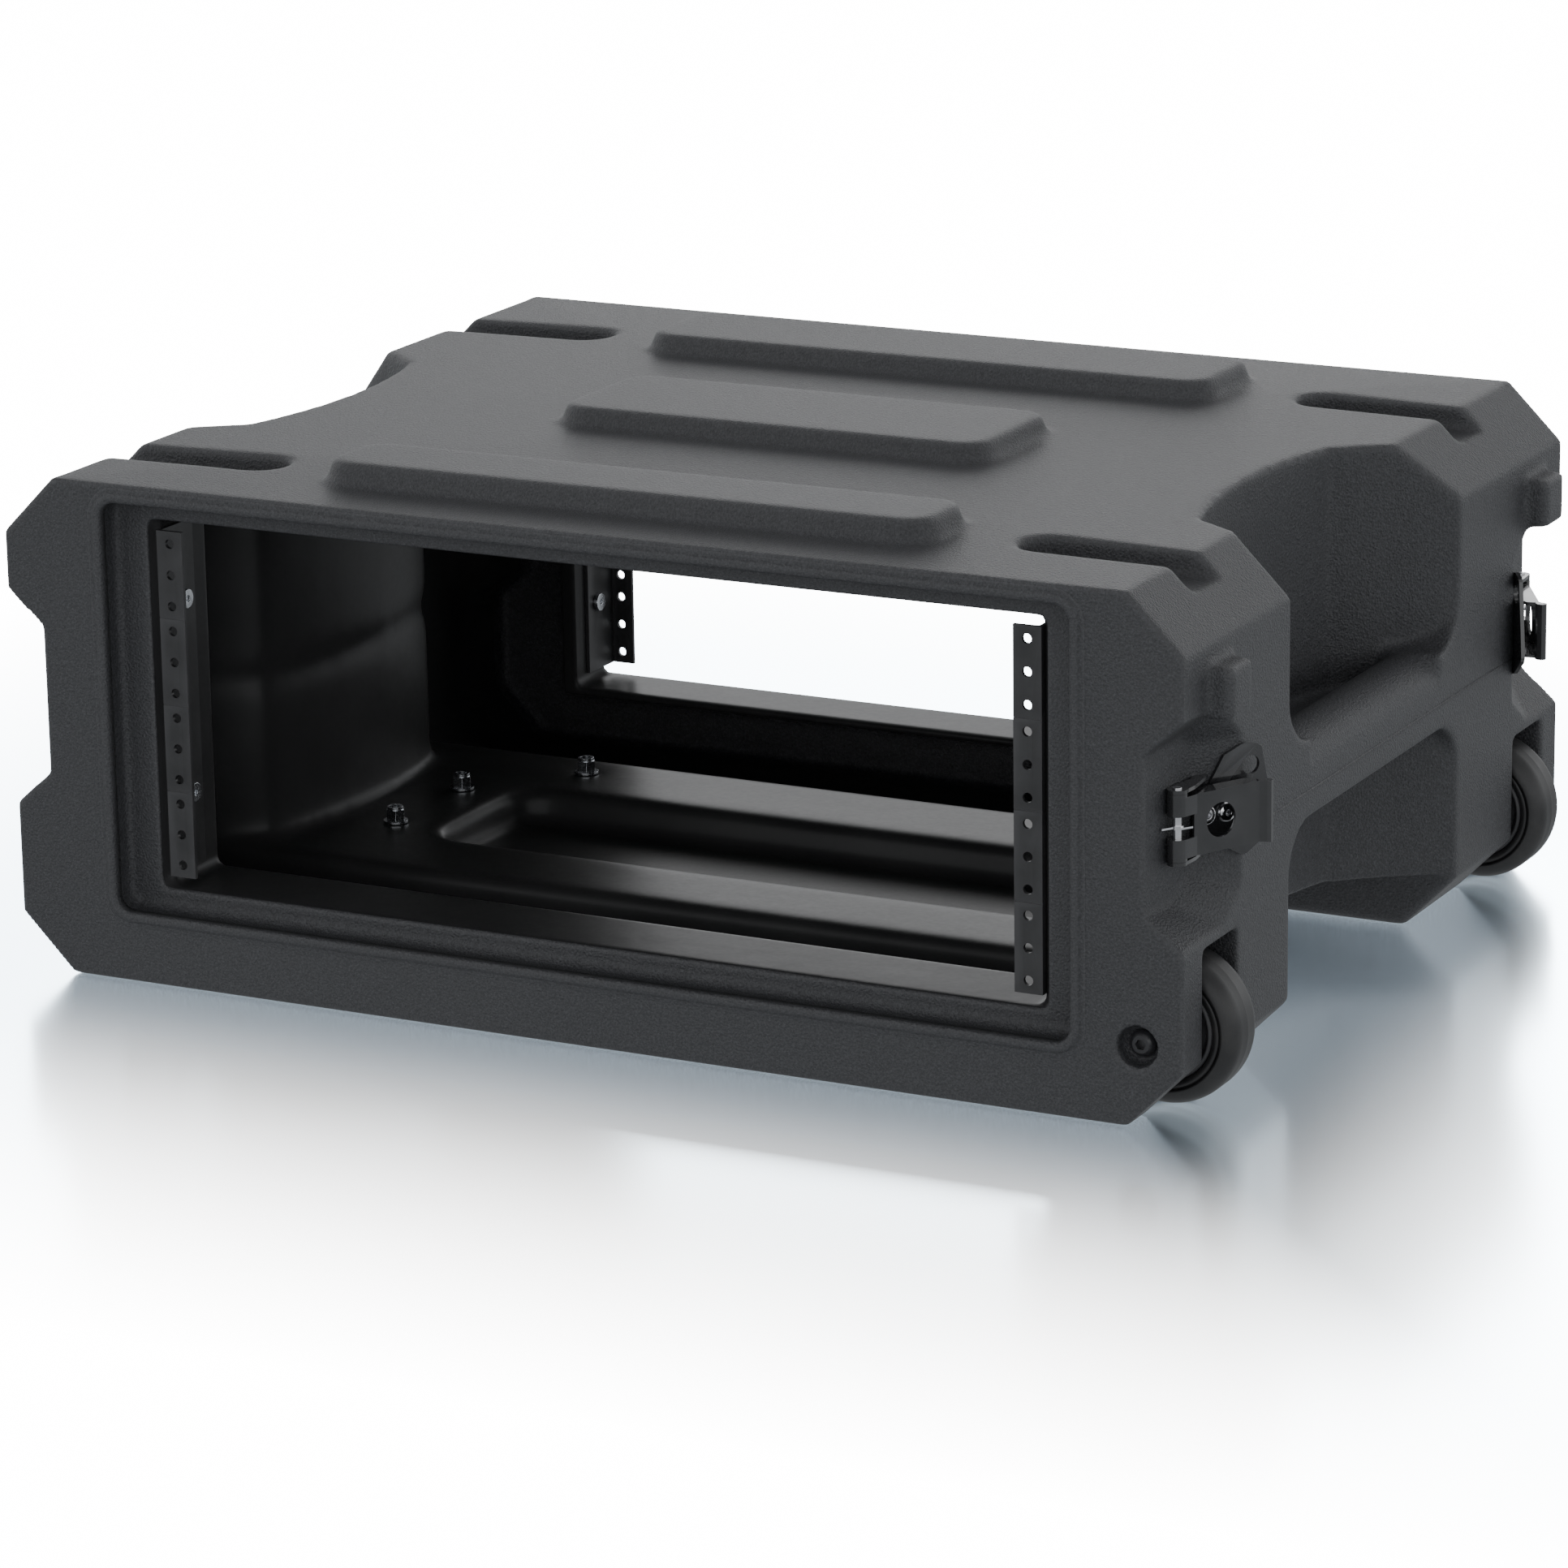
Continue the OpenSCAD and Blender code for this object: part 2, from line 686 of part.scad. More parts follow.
module latch_base(sx, rear) {
    color(black_metal) latch_frame(sx, rear) difference() {
        union() {
            rotate([90, 0, 90]) linear_extrude(plate_t)
                polygon([[0.8, -17.2], [6, -17.2], [8, -14], [21, -19.5], [28, -23.5],
                         [31, -22.5], [44, -13.5], [45.3, -11], [42.6, 5.6], [38.4, 27.5],
                         [36, 29.4], [30, 30.6], [27, 30], [17.8, 26.1], [9, 12], [6, 17.2],
                         [0.8, 17.2]]);
            both_sides(ear_z) {
                translate([pin_n, -pin_s]) circle(r = knuckle_r);
                polygon([[pin_n - knuckle_r + 0.4, -pin_s - 2], [pin_n + knuckle_r - 0.2, -pin_s + 1],
                         [pin_n - 1, -5], [plate_t, 9], [0, 9], [0, 0.8], [plate_t + 1, -0.5]]);
            }
        }
        translate([-1, 32.4, 19.7]) rotate([0, 90, 0]) cylinder(h = 5, r = 4.6);
        for (s = rivets) translate([-1, s, rivet_z]) rotate([0, 90, 0])
            cylinder(h = 5, r = rivet_r + 0.02);
        pin_frame() translate([0, 0, -40]) cylinder(h = 80, r = pin_r + 0.02);
    }
}

module latch_rivets(sx, rear) {
    tail = wall + 1.5;
    color(bright_metal) latch_frame(sx, rear) for (s = rivets)
        translate([0, s, rivet_z]) rotate([0, 90, 0]) rotate_extrude()
            polygon([[0, -tail - 1.6], [3, -tail - 1.6], [4.2, -tail], [rivet_r, -tail],
                     [rivet_r, plate_t], [5, plate_t], [5, plate_t + 0.7], [4.2, plate_t + 1.9],
                     [2.6, plate_t + 2.6], [1.5, plate_t + 2.6], [1.5, 0], [0, 0]]);
}

module latch_pin(sx, rear) {
    color(bright_metal) latch_frame(sx, rear) pin_frame()
        translate([0, 0, -ear_z[1] - 0.8]) cylinder(h = 2 * ear_z[1] + 1.6, r = pin_r);
}

// return spring on the pin, with its leg towards the front
module latch_spring(sx, rear) {
    wire = 0.9;
    inner = pin_r + 0.1;
    color(bright_metal) latch_frame(sx, rear) pin_frame() difference() {
        union() {
            translate([0, 0, -wire]) cylinder(h = 2 * wire, r = inner + wire);
            translate([0.4, -9, -wire / 2]) cube([wire, 9, wire]);
            translate([inner, 0, -wire]) cube([wire, 6.6, wire]);
        }
        translate([0, 0, -5]) cylinder(h = 10, r = inner);
    }
}

// lever with a rolled finger lip, side flanges and one round window
module latch_lever(sx, rear) {
    t = 1.6;
    lip_s = 32;
    color(black_metal) latch_frame(sx, rear) difference() {
        union() {
            pin_frame() both_sides(knuckle_z) circle(r = knuckle_r);
            // web and rolled lip
            translate([0, 0, -lever_hz]) linear_extrude(2 * lever_hz)
                polygon([[15.6, -7.6], [17.2, -7.6], [12.8, lip_s - 1.6], [13.6, lip_s],
                         [15.2, lip_s + 1.2], [15.8, lip_s + 3], [14.8, lip_s + 4.8],
                         [12.6, lip_s + 5.2], [10.6, lip_s + 3.6], [10.2, lip_s + 1],
                         [11.2, lip_s - 1.6]]);
            // arms from the knuckles to the web
            both_sides([knuckle_z[0], lever_hz])
                polygon([[pin_n + 1, -pin_s], [pin_n + knuckle_r - 0.1, -pin_s - 0.5],
                         [pin_n + knuckle_r - 0.2, -pin_s + 1.8], [17.2, -6], [15.6, -6],
                         [pin_n + 2.4, -pin_s + 3.6]]);
            // side flanges
            both_sides([lever_hz - t, lever_hz])
                polygon([[10.2, -6.5], [16.4, -7.6], [12, lip_s], [6.4, lip_s - 2], [5, lip_s - 6],
                         [7.4, -1]]);
        }
        translate([0, 8.1, 0]) rotate([0, 90, 0]) cylinder(h = 30, r = 8.3);
        pin_frame() translate([0, 0, -40]) cylinder(h = 80, r = pin_r + run_gap);
    }
}

module latch_base_fr() { latch_base(1, false); }
module latch_base_fl() { latch_base(-1, false); }
module latch_base_rr() { latch_base(1, true); }
module latch_base_rl() { latch_base(-1, true); }
module latch_rivets_fr() { latch_rivets(1, false); }
module latch_rivets_fl() { latch_rivets(-1, false); }
module latch_rivets_rr() { latch_rivets(1, true); }
module latch_rivets_rl() { latch_rivets(-1, true); }
module latch_pin_fr() { latch_pin(1, false); }
module latch_pin_fl() { latch_pin(-1, false); }
module latch_pin_rr() { latch_pin(1, true); }
module latch_pin_rl() { latch_pin(-1, true); }
module latch_spring_fr() { latch_spring(1, false); }
module latch_spring_fl() { latch_spring(-1, false); }
module latch_spring_rr() { latch_spring(1, true); }
module latch_spring_rl() { latch_spring(-1, true); }
module latch_lever_fr() { latch_lever(1, false); }
module latch_lever_fl() { latch_lever(-1, false); }
module latch_lever_rr() { latch_lever(1, true); }
module latch_lever_rl() { latch_lever(-1, true); }

// moulded mouth block of the tow handle, bolted under the floor
module tow_block() {
    bridge = 50;
    color(dark_plastic) in_frame() difference() {
        translate([block_x, tube_y0 - 13, under_z - block_h])
            cube([block_len, tube_y1 - tube_y0 + 46, block_h]);
        for (y = [tube_y0, tube_y1]) translate([block_x - 1, y, tube_z]) rotate([0, 90, 0])
            cylinder(h = block_len + 2, r = tube_r + 0.02);
        translate([block_x + bridge, tube_y0 + 10.5, -1])
            cube([block_len, tube_y1 - tube_y0 - 21, under_z + 2]);
        for (p = tow_bolts) translate([p[0], p[1], 0]) {
            cylinder(h = 60, r = tow_bolt_r + 0.2);
            cylinder(h = under_z - block_h + 6, r = 7);
        }
    }
}

module tow_tubes() {
    color(bright_metal) in_frame() for (y = [tube_y0, tube_y1])
        translate([block_x - 2, y, tube_z]) rotate([0, 90, 0]) difference() {
            cylinder(h = tube_len, r = tube_r);
            translate([0, 0, -1]) cylinder(h = tube_len - 3, r = rod_r + run_gap);
        }
}

module tow_rods() {
    color(bright_metal) in_frame() for (y = [tube_y0, tube_y1])
        translate([-282, y, tube_z]) rotate([0, 90, 0]) difference() {
            cylinder(h = tube_len + 20, r = rod_r);
            translate([0, 0, 8]) cylinder(h = tube_len + 20, r = rod_r - 1.4);
        }
}

module tow_grip() {
    grip_x = -284;
    grip_r = 9.8;
    grip_z = tube_z - 1;
    over = 14;
    color(dark_plastic) in_frame() difference() {
        union() {
            translate([grip_x, tube_y0 - over, grip_z]) rotate([-90, 0, 0])
                cylinder(h = tube_y1 - tube_y0 + 2 * over, r = grip_r);
            for (y = [tube_y0, tube_y1]) translate([grip_x, y, tube_z]) rotate([0, 90, 0])
                cylinder(h = 26, r = 8.6);
        }
        for (y = [tube_y0, tube_y1]) translate([-282, y, tube_z]) rotate([0, 90, 0])
            cylinder(h = 60, r = rod_r + 0.02);
    }
}

module tow_bolts_lower() {
    head_z = under_z - block_h + 6;
    color(black_metal) in_frame() for (p = tow_bolts) translate([p[0], p[1], 0]) {
        translate([0, 0, head_z - 4]) difference() {
            cylinder(h = 4, r = 5.5);
            translate([0, 0, -1]) cylinder(h = 3, r = 2, $fn = 6);
        }
        translate([0, 0, head_z - 0.1]) cylinder(h = floor_z + 7 - head_z, r = tow_bolt_r);
    }
}

module tow_nuts() {
    color(bright_metal) in_frame() for (p = tow_bolts) translate([p[0], p[1], floor_z])
        difference() {
            union() {
                cylinder(h = 1.2, r = 6.5);
                cylinder(h = 7, r = 5.2, $fn = 6);
                translate([0, 0, 7]) cylinder(h = 1.6, r = 4.2);
            }
            translate([0, 0, -1]) cylinder(h = 20, r = tow_bolt_r);
        }
}

shell();
rail_front_left();
rail_front_right();
rail_rear_left();
rail_rear_right();
rail_screws();
rail_nuts();
tyre_front();
hub_front();
axle_sleeve_front();
axle_washers_front();
axle_bolt_front();
axle_nut_front();
tyre_rear();
hub_rear();
axle_sleeve_rear();
axle_washers_rear();
axle_bolt_rear();
axle_nut_rear();
latch_base_fr();
latch_rivets_fr();
latch_pin_fr();
latch_spring_fr();
latch_lever_fr();
latch_base_fl();
latch_rivets_fl();
latch_pin_fl();
latch_spring_fl();
latch_lever_fl();
latch_base_rr();
latch_rivets_rr();
latch_pin_rr();
latch_spring_rr();
latch_lever_rr();
latch_base_rl();
latch_rivets_rl();
latch_pin_rl();
latch_spring_rl();
latch_lever_rl();
tow_block();
tow_tubes();
tow_rods();
tow_grip();
tow_bolts_lower();
tow_nuts();
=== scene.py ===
"""Looks of the rolling rack case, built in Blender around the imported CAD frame.

Units are metres in the part frame: origin in the middle of the front rack hole pattern,
+X to the wheeled side, +Y to the back, +Z up. Sizes below are in millimetres where a name
ends in _mm, and mm() turns them into metres.
"""

import json
import math

import bmesh
import bpy
import numpy as np
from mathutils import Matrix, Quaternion, Vector
from mathutils.bvhtree import BVHTree

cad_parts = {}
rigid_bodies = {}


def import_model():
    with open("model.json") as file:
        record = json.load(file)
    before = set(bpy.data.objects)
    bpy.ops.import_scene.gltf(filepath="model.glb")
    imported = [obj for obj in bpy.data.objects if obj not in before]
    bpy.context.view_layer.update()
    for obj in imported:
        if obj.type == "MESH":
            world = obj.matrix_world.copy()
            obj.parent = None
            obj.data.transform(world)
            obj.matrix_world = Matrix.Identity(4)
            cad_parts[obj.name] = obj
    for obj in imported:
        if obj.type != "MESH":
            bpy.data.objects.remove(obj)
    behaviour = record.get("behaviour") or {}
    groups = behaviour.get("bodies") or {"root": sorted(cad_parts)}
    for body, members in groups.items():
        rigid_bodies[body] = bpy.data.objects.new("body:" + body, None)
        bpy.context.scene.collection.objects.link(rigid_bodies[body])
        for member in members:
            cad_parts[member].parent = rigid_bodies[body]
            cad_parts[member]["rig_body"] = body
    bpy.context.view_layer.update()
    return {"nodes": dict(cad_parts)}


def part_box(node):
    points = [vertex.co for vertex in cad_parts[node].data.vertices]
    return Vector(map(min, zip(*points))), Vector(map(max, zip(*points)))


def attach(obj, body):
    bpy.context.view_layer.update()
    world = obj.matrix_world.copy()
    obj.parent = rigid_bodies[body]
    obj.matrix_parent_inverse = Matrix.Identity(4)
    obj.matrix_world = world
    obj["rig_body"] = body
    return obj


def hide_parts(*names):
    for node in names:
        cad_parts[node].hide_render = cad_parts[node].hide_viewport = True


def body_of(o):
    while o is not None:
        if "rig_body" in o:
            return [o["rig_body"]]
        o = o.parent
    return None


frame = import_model()
NODES = frame["nodes"]
SCENE = bpy.context.scene

RAIL_SETBACK_MM = 16.5  # from the front face of the case back to the front of the rails
RACK_MID_MM = 141.65  # from the ground up to the middle of the rack opening
CASE_DEPTH_MM = 492.0
SIDE_X_MM = 318.5  # from the centreline out to the flat of each side
PARTING_LINE_MM = 126.3  # height of the mould's parting line above the ground
SIDE_FACE_FROM_MM = 306.0  # the parting line is drawn only beyond this distance from the centreline


def mm(value):
    return value / 1000.0


def case_point(x, y, z):
    """A point given in case millimetres (y from the front face, z from the ground)."""
    return Vector((mm(x), mm(y - RAIL_SETBACK_MM), mm(z - RACK_MID_MM)))


# ---------------------------------------------------------------- materials


class Graph:
    """A small helper that builds a node material."""

    def __init__(self, name):
        self.material = bpy.data.materials.new(name)
        self.material.use_nodes = True
        self.tree = self.material.node_tree
        self.shader = self.tree.nodes["Principled BSDF"]
        self.coords = self.add("ShaderNodeTexCoord").outputs["Object"]

    def add(self, kind, **settings):
        node = self.tree.nodes.new(kind)
        for key, value in settings.items():
            setattr(node, key, value)
        return node

    def link(self, source, target):
        self.tree.links.new(source, target)

    def noise(self, scale, detail=2.0, roughness=0.5, stretch=None):
        node = self.add("ShaderNodeTexNoise")
        node.inputs["Scale"].default_value = scale
        node.inputs["Detail"].default_value = detail
        node.inputs["Roughness"].default_value = roughness
        self.link(self.stretched(stretch), node.inputs["Vector"])
        return node.outputs["Fac"]

    def cells(self, scale):
        node = self.add("ShaderNodeTexVoronoi")
        node.inputs["Scale"].default_value = scale
        self.link(self.coords, node.inputs["Vector"])
        return node.outputs["Distance"]

    def stretched(self, stretch):
        if stretch is None:
            return self.coords
        node = self.add("ShaderNodeMapping")
        node.inputs["Scale"].default_value = stretch
        self.link(self.coords, node.inputs["Vector"])
        return node.outputs["Vector"]

    def axes(self):
        """The X, Y and Z of the shaded point, in metres."""
        node = self.add("ShaderNodeSeparateXYZ")
        self.link(self.coords, node.inputs[0])
        return node.outputs

    def math(self, operation, a, b=0.0):
        node = self.add("ShaderNodeMath", operation=operation)
        for socket, value in zip(node.inputs, (a, b)):
            if isinstance(value, (int, float)):
                socket.default_value = value
            else:
                self.link(value, socket)
        return node.outputs[0]

    def remap(self, value, low, high, out_low, out_high):
        node = self.add("ShaderNodeMapRange")
        node.inputs["From Min"].default_value = low
        node.inputs["From Max"].default_value = high
        node.inputs["To Min"].default_value = out_low
        node.inputs["To Max"].default_value = out_high
        self.link(value, node.inputs["Value"])
        return node.outputs["Result"]

    def mix(self, factor, a, b):
        node = self.add("ShaderNodeMix", data_type="RGBA")
        for name, value in (("Factor", factor), ("A", a), ("B", b)):
            socket = self.mix_socket(node, name)
            if isinstance(value, (int, float)):
                socket.default_value = value
            elif isinstance(value, tuple):
                socket.default_value = (*value, 1.0)
            else:
                self.link(value, socket)
        return node.outputs[2]

    @staticmethod
    def mix_socket(node, name):
        """A Mix node has a set of sockets of each type, with the same names."""
        kind = "VALUE" if name == "Factor" else "RGBA"
        return next(s for s in node.inputs if s.name == name and s.type == kind)

    def mix_shaders(self, factor, first, second):
        node = self.add("ShaderNodeMixShader")
        self.link(factor, node.inputs["Fac"])
        self.link(first.outputs[0], node.inputs[1])
        self.link(second.outputs[0], node.inputs[2])
        return node

    def edges(self, low, high):
        """0 on flat areas to 1 on sharp convex edges."""
        geometry = self.add("ShaderNodeNewGeometry")
        return self.remap(geometry.outputs["Pointiness"], low, high, 0.0, 1.0)

    def bump(self, height, distance, strength=1.0, normal=None):
        node = self.add("ShaderNodeBump")
        node.inputs["Distance"].default_value = distance
        node.inputs["Strength"].default_value = strength
        self.link(height, node.inputs["Height"])
        if normal is not None:
            self.link(normal, node.inputs["Normal"])
        return node.outputs["Normal"]

    def set(self, **inputs):
        for key, value in inputs.items():
            socket = self.shader.inputs[key.replace("_", " ")]
            if isinstance(value, (int, float)):
                socket.default_value = value
            elif isinstance(value, tuple):
                socket.default_value = (*value, 1.0)
            else:
                self.link(value, socket)


# a noise's value is nearly always within this range
NOISE_LOW, NOISE_HIGH = 0.3, 0.7


def parting_line_mask(g):
    """1 along the mould's parting line on the sides of the case, 0 elsewhere."""
    height = mm(PARTING_LINE_MM - RACK_MID_MM)
    line_half, line_fade = mm(0.3), mm(0.9)
    axes = g.axes()
    from_line = g.math("ABSOLUTE", g.math("SUBTRACT", axes["Z"], height))
    line = g.remap(from_line, line_half, line_fade, 1.0, 0.0)
    from_centre = g.math("ABSOLUTE", axes["X"])
    on_side = g.math("GREATER_THAN", from_centre, mm(SIDE_FACE_FROM_MM))
    return g.math("MULTIPLY", line, on_side)


def pebbled_plastic():
    """Outside of the moulding: fine pebble grain, slow waviness, and a painted highlight along the convex
    edges.
    """
    charcoal, paler = (0.028, 0.0285, 0.0315), (0.033, 0.0335, 0.0360)
    # the second colour here is a painted highlight for the convex edges
    speck_colour, pale_edge_colour = (0.074, 0.076, 0.082), (0.11, 0.11, 0.115)
    line_colour = (0.008, 0.008, 0.009)
    pale_edge_amount, line_amount = 0.45, 0.55
    g = Graph("case_outside")
    grain = g.noise(780.0, detail=3.0, roughness=0.7)
    cells = g.cells(900.0)
    waves = g.noise(16.0, detail=2.0)
    cloud = g.noise(5.0, detail=4.0)
    colour = g.mix(g.remap(cloud, NOISE_LOW, NOISE_HIGH, 0.0, 1.0), charcoal, paler)
    speck = g.remap(grain, 0.42, 0.72, 0.0, 0.75)
    colour = g.mix(speck, colour, speck_colour)
    # painted highlight: the convex edges are made paler, where they catch the light
    pale_edge = g.math("MULTIPLY", g.edges(0.515, 0.60), pale_edge_amount)
    colour = g.mix(pale_edge, colour, pale_edge_colour)
    line = g.math("MULTIPLY", parting_line_mask(g), line_amount)
    colour = g.mix(line, colour, line_colour)
    normal = g.bump(waves, mm(0.8), 0.35)
    normal = g.bump(cells, mm(0.5), 0.7, normal)
    normal = g.bump(grain, mm(0.6), 1.0, normal)
    roughness = g.remap(grain, NOISE_LOW, NOISE_HIGH, 0.40, 0.54)
    g.set(Base_Color=colour, Roughness=roughness, Specular_IOR_Level=0.5, Normal=normal)
    return g.material


def satin_plastic():
    """Inside of the moulding: smooth, satin and wavy, as the melt left it."""
    darker, paler = (0.026, 0.026, 0.027), (0.034, 0.034, 0.035)
    g = Graph("case_inside")
    ripple = g.noise(95.0, detail=2.0, stretch=(1.0, 1.0, 1.6))
    swell = g.noise(22.0, detail=1.5)
    fine = g.noise(420.0, detail=2.0)
    colour = g.mix(g.remap(swell, NOISE_LOW, NOISE_HIGH, 0.0, 1.0), darker, paler)
    normal = g.bump(swell, mm(1.2), 0.35)
    normal = g.bump(ripple, mm(0.22), 0.45, normal)
    roughness = g.remap(fine, NOISE_LOW, NOISE_HIGH, 0.34, 0.37)
    g.set(Base_Color=colour, Roughness=roughness, Specular_IOR_Level=0.18, Normal=normal)
    return g.material


def black_rubber():
    """Black rubber with a little dust in patches."""
    rubber, dusty = (0.020, 0.020, 0.021), (0.050, 0.049, 0.048)
    g = Graph("tyre_rubber")
    grain = g.noise(700.0, detail=2.0)
    dust = g.noise(60.0, detail=5.0)
    colour = g.mix(g.remap(dust, 0.45, 0.75, 0.0, 0.5), rubber, dusty)
    roughness = g.remap(dust, NOISE_LOW, NOISE_HIGH, 0.38, 0.52)
    g.set(Base_Color=colour, Roughness=roughness, Normal=g.bump(grain, mm(0.1), 0.3))
    return g.material


def painted(name, colour, roughness, coat, grain_scale=600.0, grain_mm=0.05):
    """Black paint, plating or plastic with a faint grain, under a clear coat of the given weight."""
    pale_edge_colour, pale_edge_amount = (0.09, 0.09, 0.095), 0.35
    g = Graph(name)
    grain = g.noise(grain_scale, detail=2.0)
    cloud = g.noise(45.0, detail=3.0)
    lighter = tuple(c * 1.7 + 0.004 for c in colour)
    base = g.mix(g.remap(cloud, 0.35, 0.7, 0.0, 1.0), colour, lighter)
    # a paler colour towards sharp convex edges
    pale_edge = g.math("MULTIPLY", g.edges(0.53, 0.62), pale_edge_amount)
    base = g.mix(pale_edge, base, pale_edge_colour)
    uneven = g.remap(cloud, NOISE_LOW, NOISE_HIGH, roughness * 0.8, roughness * 1.25)
    g.set(Base_Color=base, Roughness=uneven, Normal=g.bump(grain, mm(grain_mm), 0.5))
    g.set(Coat_Weight=coat, Coat_Roughness=0.06)
    return g.material


def bright_metal(name, colour, roughness, streaks=(1.0, 1.0, 1.0)):
    """Plated or drawn metal with fine streaks and slight tarnish."""
    g = Graph(name)
    streak = g.noise(900.0, detail=3.0, stretch=streaks)
    tarnish = g.noise(120.0, detail=4.0)
    darker = tuple(c * 0.72 for c in colour)
    base = g.mix(g.remap(tarnish, 0.4, 0.8, 0.0, 0.8), colour, darker)
    uneven = g.remap(streak, NOISE_LOW, NOISE_HIGH, roughness * 0.7, roughness * 1.4)
    g.set(Base_Color=base, Metallic=1.0, Roughness=uneven, Normal=g.bump(streak, mm(0.02), 0.4))
    return g.material


MATERIALS = {
    "outside": pebbled_plastic(),
    "inside": satin_plastic(),
    "tyre": black_rubber(),
    "hub": painted("hub_plastic", (0.030, 0.030, 0.032), 0.42, 0.0),
    "rail": painted("rail_black", (0.016, 0.016, 0.017), 0.42, 0.1),
    "latch": painted("latch_black", (0.012, 0.012, 0.013), 0.22, 0.8),
    "bolt": painted("bolt_black", (0.018, 0.018, 0.02), 0.34, 0.1),
    "tow": painted("tow_plastic", (0.022, 0.022, 0.024), 0.5, 0.0, 900.0, 0.12),
    "chrome": bright_metal("bright_steel", (0.80, 0.80, 0.82), 0.16),
    "zinc": bright_metal("zinc_steel", (0.66, 0.68, 0.71), 0.22),
    "tube": bright_metal("tube_aluminium", (0.62, 0.63, 0.65), 0.3, (0.04, 1.0, 1.0)),
}
# the first entry that a node's name starts with gives its material
MATERIAL_OF_NODE = (
    ("rail_screws", "zinc"), ("rail_nuts", "zinc"), ("rail", "rail"), ("tyre", "tyre"), ("hub", "hub"),
    ("axle_bolt", "bolt"), ("axle", "zinc"), ("latch_base", "latch"), ("latch_lever", "latch"),
    ("latch", "chrome"), ("tow_block", "tow"), ("tow_grip", "tow"), ("tow_bolts", "bolt"),
    ("tow_nuts", "zinc"), ("tow", "tube"), ("shell", "outside"),
)


def by_prefix(table, node_name):
    """The value of the first entry whose prefix the node's name starts with."""
    return next(value for prefix, value in table if node_name.startswith(prefix))


def set_materials(mesh, keys):
    mesh.materials.clear()
    for key in keys:
        mesh.materials.append(MATERIALS[key])


for node_name, node in NODES.items():
    set_materials(node.data, (by_prefix(MATERIAL_OF_NODE, node_name),))


# ---------------------------------------------------------------- meshes built here


def body_of_node(node):
    """The name of the one body a CAD node rides on."""
    body = body_of(node)
    return body if isinstance(body, str) else body[0]


def add_piece(name, mesh, body, keys, replaced=()):
    """Links a mesh as a visual piece that rides on a body and may stand for CAD nodes."""
    piece = bpy.data.objects.new(name, mesh)
    SCENE.collection.objects.link(piece)
    set_materials(mesh, keys)
    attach(piece, body)
    if replaced:
        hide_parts(*replaced)
    return piece


def mesh_from_rings(name, rings, capped=False):
    """Skins equal closed rings of points into quads, and joins the last ring to the first.

    A capped mesh is a rod instead: its two end rings are filled.
    """
    mesh = bpy.data.meshes.new(name)
    count = len(rings[0])
    faces = []
    spans = len(rings) - 1 if capped else len(rings)
    for i in range(spans):
        j = (i + 1) % len(rings)
        for k in range(count):
            m = (k + 1) % count
            faces.append((i * count + k, i * count + m, j * count + m, j * count + k))
    mesh.from_pydata([p for ring in rings for p in ring], [], faces)
    mesh.polygons.foreach_set("use_smooth", [True] * len(faces))
    work = bmesh.new()
    work.from_mesh(mesh)
    if capped:
        bmesh.ops.holes_fill(work, edges=[e for e in work.edges if e.is_boundary])
    bmesh.ops.recalc_face_normals(work, faces=work.faces)
    work.to_mesh(mesh)
    work.free()
    return mesh


# ---------------------------------------------------------------- the moulded shell

VOXEL_MM = 2.0
OUTSIDE_BLUR_MM = 2.5  # how far the rounding reaches outside, and then inside
INSIDE_BLUR_MM = 6.5
STEP_DEPTH_MM = 14.0  # the step round each opening: its depth and its half width and height
STEP_HALF_W_MM = 262.0
STEP_HALF_H_MM = 105.5


def case_millimetres(positions):
    """Frame metres to case millimetres (y from the front face, z from the ground)."""
    return positions * 1000.0 + np.array([0.0, RAIL_SETBACK_MM, RACK_MID_MM])


def smoothed(positions, edges, weights, steps):
    """Moves every vertex half way to the mean of its neighbours, as far as its weight lets it."""
    count = len(positions)
    degree = np.bincount(edges.ravel(), minlength=count).clip(1)
    first, second = edges[:, 0], edges[:, 1]
    for _ in range(steps):
        for axis in range(3):
            values = positions[:, axis]
            total = np.bincount(first, weights=values[second], minlength=count)
            total += np.bincount(second, weights=values[first], minlength=count)
            positions[:, axis] = values + 0.5 * weights * (total / degree - values)
    return positions


def blur_steps(blur_mm):
    """How many steps smooth over the given distance: each adds a quarter voxel squared to its square."""
    return max(1, round((blur_mm / VOXEL_MM) ** 2 * 4))


def ramp(values, low, high):
    """0 up to low, 1 from high, and straight between them."""
    return np.clip((values - low) / (high - low), 0.0, 1.0)


def rounding_weights(p):
    """How soft the mould's edges are: crisp round the openings, latches and wheels, soft elsewhere.

    Takes points in case millimetres and gives 0 (left as it is) to 1 (fully rounded).
    """
    at_face, rim, latch_or_wheel, opening = 0.22, 0.65, 0.30, 0.10
    x, y, z = np.abs(p[:, 0]), p[:, 1], p[:, 2]
    from_face = np.minimum(np.abs(y), np.abs(CASE_DEPTH_MM - y))
    weight = at_face + (1.0 - at_face) * ramp(from_face, 3.0, 12.0)
    in_rim = (x > 290.0) | (z < 20.0)
    weight = np.where(in_rim, np.minimum(weight, rim), weight)
    in_opening = (x < STEP_HALF_W_MM + 0.5) & (z > 35.0) & (z < 248.0) & (from_face < 64.0)
    weight = np.where(in_opening, opening, weight)
    by_latch = (x > 285.0) & (z > 92.0) & (z < 190.0) & (from_face < 72.0)
    by_wheel = (x > 250.0) & (z < 84.0) & (from_face < 70.0)
    return np.where(by_latch | by_wheel, np.minimum(weight, latch_or_wheel), weight)


